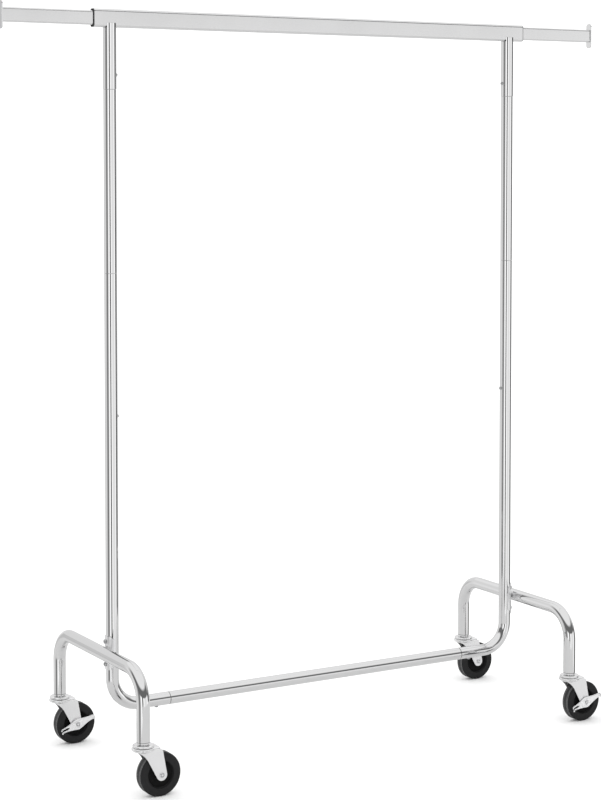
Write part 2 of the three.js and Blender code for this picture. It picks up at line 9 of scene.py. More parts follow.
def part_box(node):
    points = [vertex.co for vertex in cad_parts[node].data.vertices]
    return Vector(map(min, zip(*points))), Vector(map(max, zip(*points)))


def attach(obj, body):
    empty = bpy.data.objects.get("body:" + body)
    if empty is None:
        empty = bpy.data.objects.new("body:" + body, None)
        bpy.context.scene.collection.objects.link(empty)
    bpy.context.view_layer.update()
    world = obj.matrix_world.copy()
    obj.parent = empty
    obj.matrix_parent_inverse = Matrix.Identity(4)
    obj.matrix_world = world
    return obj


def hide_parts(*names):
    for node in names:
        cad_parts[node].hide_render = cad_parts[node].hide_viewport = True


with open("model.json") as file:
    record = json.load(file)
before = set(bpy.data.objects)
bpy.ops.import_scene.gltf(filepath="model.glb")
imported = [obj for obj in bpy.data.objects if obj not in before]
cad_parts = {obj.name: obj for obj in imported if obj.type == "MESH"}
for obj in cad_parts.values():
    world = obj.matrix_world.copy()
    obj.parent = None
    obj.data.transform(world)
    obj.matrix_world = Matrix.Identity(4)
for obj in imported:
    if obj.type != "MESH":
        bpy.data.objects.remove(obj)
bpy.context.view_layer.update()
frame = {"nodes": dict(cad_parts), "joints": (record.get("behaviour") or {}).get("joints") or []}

# ------------------------------------------------------------------ Hang rail
# One length of rectangular steel tube with rounded corners, roll formed, seam welded,
# polished and chrome plated. The sliding rods run inside it and the posts stand under it.
MM = 0.001
MICRON = 0.000001
RAIL_CORNER = 6.5 * MM
RAIL_WALL = 1.5 * MM
CUT_RIM = 0.55 * MM                # a sawn tube end is brushed to about this radius
CORNER_STEPS = 8
CRISP_ANGLE = math.radians(34)     # edges sharper than this stay crisp
UPRIGHT_TO_RAIL = Matrix.Rotation(-math.pi / 2, 4, "Y")
LEAST_CORNER = 0.2 * MM            # a section's corners never get tighter than this
CHROME = ((0.83, 0.83, 0.833, 1), (0.79, 0.79, 0.794, 1))
MIRROR_GLOSS = (0.04, 0.08)        # roughness of the round tubes
SATIN_GLOSS = (0.17, 0.2)          # roughness of the flat-sided rail and rods


def shader_group(name, inputs, output, output_kind):
    """An effect with named inputs and one output, and its two end nodes."""
    group = bpy.data.node_groups.new(name, "ShaderNodeTree")
    for label, kind, value in inputs:
        socket = group.interface.new_socket(label, in_out="INPUT", socket_type=kind)
        socket.default_value = value
    group.interface.new_socket(output, in_out="OUTPUT", socket_type=output_kind)
    return group, group.nodes.new("NodeGroupInput"), group.nodes.new("NodeGroupOutput")


def object_noise(group, vector_scale, scale, detail):
    """Noise on object coordinates, stretched by a plain or a linked vector, inside a group."""
    place = group.nodes.new("ShaderNodeTexCoord")
    stretch = group.nodes.new("ShaderNodeVectorMath")
    stretch.operation = "MULTIPLY"
    noise = group.nodes.new("ShaderNodeTexNoise")
    noise.inputs["Detail"].default_value = detail
    group.links.new(place.outputs["Object"], stretch.inputs[0])
    if isinstance(vector_scale, tuple):
        stretch.inputs[1].default_value = vector_scale
    else:
        group.links.new(vector_scale, stretch.inputs[1])
    group.links.new(stretch.outputs[0], noise.inputs["Vector"])
    group.links.new(scale, noise.inputs["Scale"])
    return noise.outputs["Fac"]


# Long shallow marks that drawing and polishing leave along a piece
drawn_marks, marks_in, marks_out = shader_group(
    "drawn_marks",
    [("Stretch", "NodeSocketVector", (1, 1, 1)), ("Fineness", "NodeSocketFloat", 1)],
    "Height", "NodeSocketFloat")
marks = object_noise(drawn_marks, marks_in.outputs["Stretch"], marks_in.outputs["Fineness"], 2)
drawn_marks.links.new(marks, marks_out.inputs["Height"])

# Patchy film left by handling, as a value between a low and a high
handling_film, film_in, film_out = shader_group(
    "handling_film",
    [("Patch", "NodeSocketFloat", 10), ("Low", "NodeSocketFloat", 0),
     ("High", "NodeSocketFloat", 1)],
    "Value", "NodeSocketFloat")
film = object_noise(handling_film, (1, 1, 1), film_in.outputs["Patch"], 4)
spread = handling_film.nodes.new("ShaderNodeMapRange")
spread.inputs["From Min"].default_value = 0.32
spread.inputs["From Max"].default_value = 0.68
handling_film.links.new(film, spread.inputs["Value"])
handling_film.links.new(film_in.outputs["Low"], spread.inputs["To Min"])
handling_film.links.new(film_in.outputs["High"], spread.inputs["To Max"])
handling_film.links.new(spread.outputs["Result"], film_out.inputs["Value"])

# Slow drift between two shades of the same finish
shade_drift, drift_in, drift_out = shader_group(
    "shade_drift",
    [("Light", "NodeSocketColor", (1, 1, 1, 1)), ("Shade", "NodeSocketColor", (0, 0, 0, 1)),
     ("Patch", "NodeSocketFloat", 6)],
    "Color", "NodeSocketColor")
drift = object_noise(shade_drift, (1, 1, 1), drift_in.outputs["Patch"], 3)
blend = shade_drift.nodes.new("ShaderNodeMix")
blend.data_type = "RGBA"
shade_drift.links.new(drift, blend.inputs["Factor"])
shade_drift.links.new(drift_in.outputs["Light"], blend.inputs["A"])
shade_drift.links.new(drift_in.outputs["Shade"], blend.inputs["B"])
shade_drift.links.new(blend.outputs["Result"], drift_out.inputs["Color"])


def placed_group(material, group, **values):
    """A shared effect placed in a material, with this material's own values."""
    node = material.node_tree.nodes.new("ShaderNodeGroup")
    node.node_tree = group
    for label, value in values.items():
        node.inputs[label.capitalize()].default_value = value
    return node


def new_finish(
        name, tones, gloss, patch, metallic, fineness, depth, stretch=(1, 1, 1), specular=0.5):
    """A material whose tone and roughness drift in patches, with fine marks of a real depth."""
    material = bpy.data.materials.new(name)
    material.use_nodes = True
    shader = material.node_tree.nodes["Principled BSDF"]
    shader.inputs["Metallic"].default_value = metallic
    shader.inputs["Specular IOR Level"].default_value = specular
    tone = placed_group(material, shade_drift, light=tones[0], shade=tones[1], patch=patch)
    film = placed_group(material, handling_film, patch=patch * 2, low=gloss[0], high=gloss[1])
    lines = placed_group(material, drawn_marks, stretch=stretch, fineness=fineness)
    bump = material.node_tree.nodes.new("ShaderNodeBump")
    bump.inputs["Strength"].default_value = 1
    bump.inputs["Distance"].default_value = depth
    for source, socket in (
            (tone.outputs["Color"], shader.inputs["Base Color"]),
            (film.outputs["Value"], shader.inputs["Roughness"]),
            (lines.outputs["Height"], bump.inputs["Height"]),
            (bump.outputs["Normal"], shader.inputs["Normal"])):
        material.node_tree.links.new(source, socket)
    return material


def chrome(name, stretch, gloss=MIRROR_GLOSS):
    """Bright chrome plate, with its polishing marks running along the piece."""
    return new_finish(
        name, CHROME, gloss, patch=5, metallic=1, fineness=1, depth=3 * MICRON, stretch=stretch)


def add_piece(name, bm, body, slot, material, *nodes):
    """Turns a finished bmesh into a piece that rides on a body and stands for CAD nodes."""
    bmesh.ops.recalc_face_normals(bm, faces=bm.faces)
    for face in bm.faces:
        face.smooth = True
    for edge in bm.edges:
        edge.smooth = len(edge.link_faces) == 2 and edge.calc_face_angle() < CRISP_ANGLE
    mesh = bpy.data.meshes.new(name)
    bm.to_mesh(mesh)
    bm.free()
    mesh.materials.append(material)
    piece = bpy.data.objects.new(name, mesh)
    bpy.context.scene.collection.objects.link(piece)
    even = piece.modifiers.new("even_shading", "WEIGHTED_NORMAL")
    even.keep_sharp = True
    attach(piece, body)
    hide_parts(*nodes)
    return piece


def bevelled(bm, geom, offset, segments, affect="VERTICES"):
    """Rounds corners or edges off."""
    bmesh.ops.bevel(
        bm, geom=geom, offset=offset, offset_type="OFFSET", segments=segments, profile=0.5,
        affect=affect, clamp_overlap=True, material=-1)


def section_loop(bm, x, z, height, width, corner):
    """One rounded rectangular loop across X, as its edges."""
    size = Matrix.Diagonal((height, width, 1, 1))
    before = set(bm.edges)
    made = bmesh.ops.create_grid(
        bm, x_segments=1, y_segments=1, size=0.5,
        matrix=Matrix.Translation((x, 0, z)) @ UPRIGHT_TO_RAIL @ size)
    bevelled(bm, made["verts"], corner, CORNER_STEPS)
    edges = [edge for edge in bm.edges if edge not in before]
    inside = list({face for edge in edges for face in edge.link_faces})
    bmesh.ops.delete(bm, geom=inside, context="FACES_ONLY")
    return edges


def rim_stations(x, towards, height, width, corner, rim):
    """Three sections that round a rim at x; towards is +1 where the piece lies at greater x."""
    quarter = [math.radians(a) for a in (0, 45, 90)]
    return [
        (x + towards * rim * (1 - math.cos(a)),
         height - 2 * rim * (1 - math.sin(a)),
         width - 2 * rim * (1 - math.sin(a)),
         max(corner - rim * (1 - math.sin(a)), LEAST_CORNER))
        for a in quarter
    ]


def bar_through(stations, z, ring):
    """Bar along X through its sections: a ring closes on itself, and a solid bar is capped."""
    bm = bmesh.new()
    loops = [section_loop(bm, x, z, *section) for x, *section in stations]
    pairs = list(zip(loops, loops[1:] + loops[:1] if ring else loops[1:]))
    for near, far in pairs:
        bmesh.ops.bridge_loops(bm, edges=near + far)
    if not ring:
        bmesh.ops.edgeloop_fill(bm, edges=loops[0])
        bmesh.ops.edgeloop_fill(bm, edges=loops[-1])
    return bm


def hollow_bar(start, end, z, height, width, corner, wall):
    """Rectangular tube along X with a rounded outer rim at each end."""
    inner = (height - 2 * wall, width - 2 * wall, corner - wall)
    outside = rim_stations(start, 1, height, width, corner, CUT_RIM)
    outside += rim_stations(end, -1, height, width, corner, CUT_RIM)[::-1]
    return bar_through([*outside, (end, *inner), (start, *inner)], z, ring=True)


rail_low, rail_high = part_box("rail_tube")
rail_width = rail_high.y - rail_low.y
rail_section = (rail_high.z - rail_low.z, rail_width, RAIL_CORNER)
rail_axis = (rail_low.z + rail_high.z) / 2
chrome_along_rail = chrome("chrome_along_rail", (2, 90, 90))
satin_chrome = chrome("satin_chrome", (2, 90, 90), SATIN_GLOSS)
add_piece(
    "hang_rail", hollow_bar(rail_low.x, rail_high.x, rail_axis, *rail_section, RAIL_WALL),
    "frame", "chromed_steel", satin_chrome, "rail_tube")

# ---------------------------------------------------- Extension rods and bushings
# At each end of the rail, a black nylon bushing with a thin flange is pressed into the tube.
# A smaller chromed tube slides in it, with a flat end plate with round ends welded on.
BUSHING_SLEEVE_INSET = 1.8 * MM    # rail wall plus the press gap
ROD_CORNER = 4.5 * MM
ROD_WALL = 1.2 * MM
ROD_SLIDE_GAP = 0.4 * MM
PLATE_CORNER = 8 * MM
PLATE_RIM = 0.7 * MM
FLANGE_RIM = 0.3 * MM
FLANGE_GAP = 0.3 * MM              # between the rail's end and the flange
NYLON = ((0.02, 0.02, 0.022, 1), (0.012, 0.012, 0.013, 1))

black_plastic = new_finish(
    "black_nylon", NYLON, (0.38, 0.5), patch=40, metallic=0, fineness=1600,
    depth=30 * MICRON, specular=0.35)


def refinish(node, material):
    """Gives a CAD node that stays in the model a material of the visual ones."""
    slots = frame["nodes"][node].data.materials
    slots.clear()
    slots.append(material)


for side, sign in (("left", -1), ("right", 1)):
    rod_low, rod_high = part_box(f"{side}_extension_rod")
    bush_low, bush_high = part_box(f"{side}_rail_bushing")
    plate_low, plate_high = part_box(f"{side}_end_plate")
    rod_height = rod_high.z - rod_low.z
    rod_width = rod_high.y - rod_low.y
    add_piece(
        f"{side}_rod",
        hollow_bar(rod_low.x, rod_high.x, rail_axis, rod_height, rod_width, ROD_CORNER, ROD_WALL),
        f"{side}_rod", "chromed_steel", satin_chrome, f"{side}_extension_rod")

    plate = (plate_high.z - plate_low.z, plate_high.y - plate_low.y, PLATE_CORNER, PLATE_RIM)
    stations = rim_stations(plate_low.x, 1, *plate) + rim_stations(plate_high.x, -1, *plate)[::-1]
    add_piece(
        f"{side}_rod_end_plate", bar_through(stations, rail_axis, ring=False),
        f"{side}_rod", "chromed_steel", satin_chrome, f"{side}_end_plate")

    rail_end = rail_high.x if sign > 0 else rail_low.x
    flange_end = bush_high.x if sign > 0 else bush_low.x
    sleeve_end = bush_low.x if sign > 0 else bush_high.x
    flange_start = rail_end + sign * FLANGE_GAP
    sleeve = tuple(s - 2 * BUSHING_SLEEVE_INSET for s in rail_section[:2]) + (
        RAIL_CORNER - BUSHING_SLEEVE_INSET,)
    opening = (rod_height + 2 * ROD_SLIDE_GAP, rod_width + 2 * ROD_SLIDE_GAP,
               ROD_CORNER + ROD_SLIDE_GAP)
    stations = [(sleeve_end, *sleeve), (flange_start, *sleeve)]
    stations += rim_stations(flange_start, sign, *rail_section, FLANGE_RIM)
    stations += rim_stations(flange_end, -sign, *rail_section, FLANGE_RIM)[::-1]
    stations += [(flange_end, *opening), (sleeve_end, *opening)]
    add_piece(
        f"{side}_bushing", bar_through(stations, rail_axis, ring=True),
        "frame", "black_plastic", black_plastic, f"{side}_rail_bushing")
    refinish(f"{side}_rod_guide", black_plastic)

# ------------------------------------------------------------------ Rail stubs
# A short round tube stands under the rail near each end. Its top is notched, so that two ears
# rise up the rail's sides, where it is welded and then chromed together with the rail.
STUB_WALL = 1.4 * MM
NOTCH_GAP = 0.3 * MM
TUBE_SIDES = 72
WELDED = 1e-6                      # points closer than this are one
ALONG_Z = Matrix.Identity(4)
ALONG_Y = Matrix.Rotation(-math.pi / 2, 4, "X")
ALONG_X = Matrix.Rotation(math.pi / 2, 4, "Y")


def swing(bm, geom, centre, axis, angle, steps, whole=False):
    """Sweeps geometry round an axis, and returns its new end."""
    return bmesh.ops.spin(
        bm, geom=geom, cent=centre, axis=axis, dvec=(0, 0, 0), angle=angle, steps=steps,
        use_merge=whole, use_normal_flip=False, use_duplicate=False)["geom_last"]


def turned(profile, centre, along=ALONG_Z, closed=True, rounding=0.0, sides=TUBE_SIDES, soft=2):
    """Shell turned from [radius, place along the axis] pairs, with its corners rounded."""
    bm = bmesh.new()
    verts = [bm.verts.new((radius, 0, place)) for radius, place in profile]
    for near, far in zip(verts, verts[1:] + verts[:1] if closed else verts[1:]):
        bm.edges.new((near, far))
    corners = [v for v in bm.verts if len(v.link_edges) == 2]
    if rounding and corners:
        bevelled(bm, corners, rounding, soft)
    swing(bm, bm.verts[:] + bm.edges[:], (0, 0, 0), (0, 0, 1), 2 * math.pi, sides, whole=True)
    bmesh.ops.remove_doubles(bm, verts=bm.verts, dist=WELDED)
    bmesh.ops.transform(bm, matrix=Matrix.Translation(centre) @ along, verts=bm.verts)
    return bm


def round_rims(bm, offset, sharper_than=60, soft=2):
    """Rounds every edge that turns through more than an angle in degrees."""
    sharp = [e for e in bm.edges
             if len(e.link_faces) == 2 and e.calc_face_angle() > math.radians(sharper_than)]
    bevelled(bm, sharp, offset, soft, affect="EDGES")


def cut_along(bm, point, normal, clear_outer=False):
    """Cuts a mesh along a plane, and drops what lies beyond it if asked."""
    bmesh.ops.bisect_plane(
        bm, geom=bm.verts[:] + bm.edges[:] + bm.faces[:], dist=1e-7, plane_co=point,
        plane_no=normal, clear_outer=clear_outer)


def make_thick(bm, wall):
    """Gives a skin that faces outwards its wall, on the inside."""
    bmesh.ops.solidify(bm, geom=bm.faces[:], thickness=wall)
    bmesh.ops.recalc_face_normals(bm, faces=bm.faces)


def middle(node):
    """The middle of a CAD node's box."""
    low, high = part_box(node)
    return (low + high) / 2


chrome_upright = chrome("chrome_upright", (90, 90, 2))
for side in ("left", "right"):
    low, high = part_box(f"{side}_rail_stub")
    radius = (high.y - low.y) / 2
    post_x = middle(f"{side}_rail_stub").x
    notch_half = rail_width / 2 + NOTCH_GAP
    notch_floor = rail_low.z - NOTCH_GAP
    bm = turned([(radius, low.z), (radius, high.z)], (0, 0, 0), closed=False)
    for y in (-notch_half, notch_half):
        cut_along(bm, (0, y, 0), (0, 1, 0))
    cut_along(bm, (0, 0, notch_floor), (0, 0, 1))
    centres = [(face, face.calc_center_median()) for face in bm.faces]
    mouth = [face for face, centre in centres
             if abs(centre.y) < notch_half and centre.z > notch_floor]
    bmesh.ops.delete(bm, geom=mouth, context="FACES")
    bmesh.ops.recalc_face_normals(bm, faces=bm.faces)
    make_thick(bm, STUB_WALL)
    round_rims(bm, CUT_RIM)
    bmesh.ops.translate(bm, verts=bm.verts, vec=(post_x, 0, 0))
    add_piece(
        f"{side}_stub", bm, "frame", "chromed_steel", chrome_upright, f"{side}_rail_stub")

# ------------------------------------------------------------------ Upper posts
# Chromed round tube. Its top end is swaged smaller and slips up into the stub, where one
# screw holds it, and its lower end butts on the corner tube over an inner sleeve.
TUBE_WALL = 1.2 * MM
SWAGE_TAPER = 2 * MM
SWAGE_LEAD = 0.4 * MM              # the taper starts this far below the stub's end

for side in ("left", "right"):
    low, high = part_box(f"{side}_upper_post")
    stub_low, stub_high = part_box(f"{side}_rail_stub")
    tube_radius = (high.y - low.y) / 2
    swage_radius = (stub_high.y - stub_low.y) / 2 - STUB_WALL - NOTCH_GAP
    shoulder = stub_low.z - NOTCH_GAP
    profile = [
        (tube_radius, low.z), (tube_radius, shoulder - SWAGE_LEAD),
        (swage_radius, shoulder + SWAGE_TAPER - SWAGE_LEAD), (swage_radius, high.z),
        (swage_radius - TUBE_WALL, high.z), (swage_radius - TUBE_WALL, shoulder),
        (tube_radius - TUBE_WALL, shoulder - SWAGE_TAPER), (tube_radius - TUBE_WALL, low.z)]
    add_piece(
        f"{side}_post", turned(profile, (middle(f"{side}_upper_post").x, 0, 0), rounding=CUT_RIM),
        "frame", "chromed_steel", chrome_upright, f"{side}_upper_post")

# ------------------------------------------- Corner tubes, bottom rail, inner sleeves
# Each lower post is bent inwards in one piece, and the bottom rail's two swaged ends slip
# into its arm. A zinc plated sleeve inside lines the two lengths of each post up.
CORNER_BEND = 66 * MM
BEND_STEPS = 28
SEAM_SHOWN = 1.4 * MM              # groove where the bottom rail enters a corner tube
ZINC = ((0.92, 0.92, 0.925, 1), (0.86, 0.86, 0.865, 1))
# Dark grime and painted shade for the seam's groove
SEAM_GRIME_AND_SHADE = ((0.1, 0.1, 0.1, 1), (0.04, 0.04, 0.04, 1))


def verts_in(geom):
    return [g for g in geom if isinstance(g, bmesh.types.BMVert)]


def edges_in(geom):
    return [g for g in geom if isinstance(g, bmesh.types.BMEdge)]


def run_on(bm, edges, reach):
    """Extrudes an open end straight on, and returns the new end."""
    made = bmesh.ops.extrude_edge_only(bm, edges=edges)["geom"]
    ends = verts_in(made)
    bmesh.ops.translate(bm, verts=ends, vec=reach)
    return [edge for edge in edges_in(made) if all(v in ends for v in edge.verts)]


def bend_on(bm, edges, centre, axis, angle):
    """Sweeps an open end round a bend, and returns the new end."""
    verts = list({v for e in edges for v in e.verts})
    return edges_in(swing(bm, verts + edges, centre, axis, angle, BEND_STEPS))


def open_end(bm, radius, centre):
    """Circle lying flat that a tube is drawn from."""
    before = set(bm.edges)
    bmesh.ops.create_circle(
        bm, cap_ends=False, radius=radius, segments=TUBE_SIDES,
        matrix=Matrix.Translation(centre))
    return [edge for edge in bm.edges if edge not in before]


def give_wall(bm, wall):
    """Turns a drawn skin into a tube with brushed rims."""
    bmesh.ops.remove_doubles(bm, verts=bm.verts, dist=WELDED)
    bmesh.ops.recalc_face_normals(bm, faces=bm.faces)
    make_thick(bm, wall)
    round_rims(bm, CUT_RIM)


zinc = new_finish(
    "bright_zinc", ZINC, (0.13, 0.2), patch=30, metallic=0.85, fineness=420, depth=2 * MICRON)
seam_grime_and_shade_finish = new_finish(
    "seam_grime_and_shade", SEAM_GRIME_AND_SHADE, (0.5, 0.7), patch=60, metallic=0.5, fineness=900,
    depth=20 * MICRON)

rail_mid = middle("bottom_rail").z
for side, sign in (("left", -1), ("right", 1)):
    low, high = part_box(f"{side}_corner_tube")
    post_x = middle(f"{side}_upper_post").x
    arm_end = high.x if sign < 0 else low.x
    bend_centre = Vector((post_x - sign * CORNER_BEND, 0, rail_mid + CORNER_BEND))
    bm = bmesh.new()
    end = open_end(bm, tube_radius, (post_x, 0, high.z))
    end = run_on(bm, end, (0, 0, bend_centre.z - high.z))
    end = bend_on(bm, end, bend_centre, (0, 1, 0), sign * math.pi / 2)
    run_on(bm, end, (arm_end - bend_centre.x, 0, 0))
    give_wall(bm, TUBE_WALL)
    add_piece(
        f"{side}_lower_post", bm, "frame", "chromed_steel", chrome_upright, f"{side}_corner_tube")
    refinish(f"{side}_inner_sleeve", zinc)

low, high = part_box("bottom_rail")
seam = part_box("right_corner_tube")[0].x - NOTCH_GAP
rail_swage = tube_radius - TUBE_WALL - NOTCH_GAP
half_outside = [
    (tube_radius, seam - SEAM_SHOWN), (rail_swage, seam - SEAM_SHOWN + SWAGE_TAPER),
    (rail_swage, high.x)]
half_inside = [
    (rail_swage - TUBE_WALL, high.x), (rail_swage - TUBE_WALL, seam),
    (tube_radius - TUBE_WALL, seam - SWAGE_TAPER)]
profile = [(r, -p) for r, p in half_outside][::-1] + half_outside
profile += half_inside + [(r, -p) for r, p in half_inside][::-1]
lower_rail = add_piece(
    "lower_rail", turned(profile, (0, 0, rail_mid), along=ALONG_X, rounding=CUT_RIM),
    "frame", "chromed_steel", chrome_along_rail, "bottom_rail")
# The swaged faces that show in the seam's groove are painted dark: grime, and painted shade in
# the gap
lower_rail.data.materials.append(seam_grime_and_shade_finish)
for part in lower_rail.data.polygons:
    across = part.center - Vector((0, 0, rail_mid))
    swaged = across.yz.length < tube_radius - CUT_RIM
    part.material_index = int(swaged and abs(across.x) > seam - SEAM_SHOWN)

# ------------------------------------------------------------------ Side bases
# One chromed round tube on each side, bent into an upside-down U. A half-round saddle plate
# is welded to the inner side of its bar, and two bolts clamp that round the post.
BASE_BEND = 70 * MM
SADDLE_THICKNESS = 2.2 * MM
SADDLE_NARROW = 0.8                # the plate's half width at its ends, as a share
SADDLE_STRAIGHT = 0.75             # share of its height that keeps the full width
SADDLE_RIM = 0.6 * MM
DULL_CHROME = ((0.93, 0.93, 0.935, 1), (0.87, 0.87, 0.875, 1))

chrome_along_base = chrome("chrome_along_base", (90, 8, 8))
dull_chrome = new_finish(
    "dull_chrome", DULL_CHROME, (0.3, 0.42), patch=25, metallic=0.85, fineness=2,
    depth=6 * MICRON, stretch=(90, 90, 2))
for side, sign in (("left", -1), ("right", 1)):
    low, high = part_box(f"{side}_side_base")
    bar_x = middle(f"{side}_side_base").x
    bar_z = high.z - tube_radius
    leg_y = high.y - tube_radius
    bm = bmesh.new()
    end = open_end(bm, tube_radius, (bar_x, -leg_y, low.z))
    end = run_on(bm, end, (0, 0, bar_z - BASE_BEND - low.z))
    end = bend_on(bm, end, (bar_x, BASE_BEND - leg_y, bar_z - BASE_BEND), (1, 0, 0), -math.pi / 2)
    end = run_on(bm, end, (0, 2 * (leg_y - BASE_BEND), 0))
    end = bend_on(bm, end, (bar_x, leg_y - BASE_BEND, bar_z - BASE_BEND), (1, 0, 0), -math.pi / 2)
    run_on(bm, end, (0, 0, low.z - bar_z + BASE_BEND))
    give_wall(bm, TUBE_WALL)
    add_piece(
        f"{side}_base", bm, "frame", "chromed_steel", chrome_along_base, f"{side}_side_base")

    low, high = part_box(f"{side}_saddle_plate")
    saddle_outer = (high.y - low.y) / 2
    bm = bmesh.new()
    ends = [bm.verts.new((0, saddle_outer, z)) for z in (low.z, bar_z, high.z)]
    strip = [bm.edges.new(pair) for pair in zip(ends, ends[1:])]
    swing(bm, ends + strip, (0, 0, 0), (0, 0, 1), -sign * math.pi, TUBE_SIDES // 2)
    for front in (-1, 1):
        for end in (low.z, high.z):
            corner = Vector((0, front * saddle_outer * SADDLE_NARROW, end))
            across = Vector((0, front * saddle_outer, bar_z + (end - bar_z) * SADDLE_STRAIGHT))
            away = (across - corner).cross(Vector((1, 0, 0)))
            if away.y * front < 0:
                away.negate()
            cut_along(bm, corner, away, clear_outer=True)
    bmesh.ops.remove_doubles(bm, verts=bm.verts, dist=WELDED)
    bmesh.ops.recalc_face_normals(bm, faces=bm.faces)
    first = bm.faces[:][0]
    if first.normal.dot(first.calc_center_median() * Vector((1, 1, 0))) < 0:
        bmesh.ops.reverse_faces(bm, faces=bm.faces)
    make_thick(bm, SADDLE_THICKNESS)
    round_rims(bm, SADDLE_RIM)
    bmesh.ops.translate(bm, verts=bm.verts, vec=(middle(f"{side}_upper_post").x, 0, 0))
    add_piece(
        f"{side}_saddle", bm, "frame", "chromed_steel", dull_chrome, f"{side}_saddle_plate")

# ------------------------------------------------------------ Screws and bolts
# Plated steel fasteners with low domed heads: hexagon sockets in the four saddle bolts, and
# cross recesses in the six small screws of the stubs, the lower posts and the bottom rail.
HEAD_SIDES = 32
RECESS_DEPTH = 0.45                # share of the head's height
RECESS_REACH = 0.46                # and of its radius
ARM_HALF = 0.28                    # a cross recess arm's half width, as a share of its reach
CROWN = (0.62, 0.97)               # where the dome meets the recess: share of radius, of height
DOME = ((0.86, 0.8), (0.97, 0.55), (1.0, 0.3), (1.0, 0.06), (0.96, 0.0))
# Head radius, head height and shank radius
BOLT = (5.5 * MM, 3.6 * MM, 3 * MM)
SCREW = (4.4 * MM, 2.8 * MM, 2.5 * MM)
STEEL = ((0.66, 0.665, 0.67, 1), (0.5, 0.505, 0.515, 1))

fastener_steel = new_finish(
    "plated_fastener", STEEL, (0.22, 0.36), patch=120, metallic=1, fineness=900,
    depth=20 * MICRON)


def recess_outline(reach, crossed):
    """Corners of a cross recess, or of a hexagon socket."""
    if not crossed:
        return [(reach * math.cos(math.radians(a)), reach * math.sin(math.radians(a)))
                for a in range(0, 360, 60)]
    arm = reach * ARM_HALF
    corner = [(reach, -arm), (reach, arm), (arm, arm)]
    turns = [Matrix.Rotation(math.radians(a), 2) for a in range(0, 360, 90)]
    return [tuple(turn @ Vector(point)) for turn in turns for point in corner]


def grow_ring(bm, ring, radius, height):
    """Extrudes a round end to another radius and height, and returns the new end."""
    ring = run_on(bm, ring, (0, 0, 0))
    verts = list({v for e in ring for v in e.verts})
    now = ring[0].verts[0].co
    grow = radius / now.xy.length
    bmesh.ops.translate(bm, verts=verts, vec=(0, 0, height - now.z))
    bmesh.ops.scale(bm, verts=verts, vec=(grow, grow, 1))
    return ring


def fastener_mesh(head, height, shank, length, crossed):
    """Fastener along Z, with the underside of its head at height 0."""
    bm = bmesh.new()
    bmesh.ops.create_circle(
        bm, cap_ends=False, radius=head * CROWN[0], segments=HEAD_SIDES,
        matrix=Matrix.Translation((0, 0, height * CROWN[1])))
    ring = bm.edges[:]
    corners = recess_outline(head * RECESS_REACH, crossed)
    outline = [bm.verts.new((x, y, height)) for x, y in corners]
    socket = [bm.edges.new(pair) for pair in zip(outline, outline[1:] + outline[:1])]
    bmesh.ops.bridge_loops(bm, edges=ring + socket)
    floor = run_on(bm, socket, (0, 0, -height * RECESS_DEPTH))
    bmesh.ops.edgeloop_fill(bm, edges=floor)
    for across, up in DOME:
        ring = grow_ring(bm, ring, head * across, height * up)
    for radius, z in ((shank, 0), (shank, 0.5 * shank - length), (0.55 * shank, -length)):
        ring = grow_ring(bm, ring, radius, z)
    bmesh.ops.edgeloop_fill(bm, edges=ring)
    return bm


def fasten(name, node, direction, head, height, shank, crossed):
    """Puts a fastener where its CAD node is, with its head facing a direction."""
    low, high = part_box(node)
    centre = (low + high) / 2
    facing = Vector(direction)
    length = abs((high - low).dot(facing))
    seat = centre + facing * (length / 2 - height)
    bm = fastener_mesh(head, height, shank, length - height, crossed)
    turn = Vector((0, 0, 1)).rotation_difference(facing).to_matrix().to_4x4()
    bmesh.ops.transform(bm, matrix=Matrix.Translation(seat) @ turn, verts=bm.verts)
    add_piece(name, bm, "frame", "plated_fasteners", fastener_steel, node)


for side, sign in (("left", -1), ("right", 1)):
    for place in ("lower", "upper"):
        fasten(f"{side}_bolt_{place}", f"{side}_saddle_bolt_{place}", (sign, 0, 0), *BOLT,
               crossed=False)
    for place, direction in (
            ("stub", (-sign, 0, 0)), ("mid", (-sign, 0, 0)), ("bottom_rail", (0, 0, -1))):
        fasten(f"{side}_{place}_fixing", f"{side}_{place}_screw", direction, *SCREW,
               crossed=True)

# --------------------------------------------------- Leg sockets and caster seats
# A black nylon insert in each leg grips the caster's stem. Under it sits a pressed zinc plated
# cap, the fixed half of the swivel, with a notched collar, and a kingpin riveted through it.
SOCKET_FLANGE = 0.5 * MM
STEM_RADIUS = 5.5 * MM
STEM_POINT = 2 * MM
PIN_HEAD = (8.5 * MM, 2.5 * MM)    # radius and height of the kingpin's riveted head
CAP_RIM_RISE = 12.6 * MM           # the cap's rim above the kingpin's lower end
CAP_TOP_RISE = 17.7 * MM
CAP_RIM_HEIGHT = 3 * MM
CAP_PLATE = 1 * MM
CAP_HOLLOW = 2 * MM                # the cap's underside starts this far in from its rim
CAP_STEP = 0.6 * MM
CAP_CROWN = 11 * MM                # radius of the cap's sunk middle
COLLAR_NECK = 8 * MM
COLLAR_RADIUS = 14 * MM
COLLAR_BORE = 5 * MM
COLLAR_NOTCHES = 10
NOTCH_SHARE = 0.55                 # of the collar's height
joints = {joint["name"]: joint for joint in frame["joints"]}
CASTERS = ("front_left", "rear_left", "front_right", "rear_right")
BRAKED = ("rear_left", "front_right")


def joint_place(name):
    """Where a joint's axis stands."""
    return Vector(joints[name]["pos_m"])


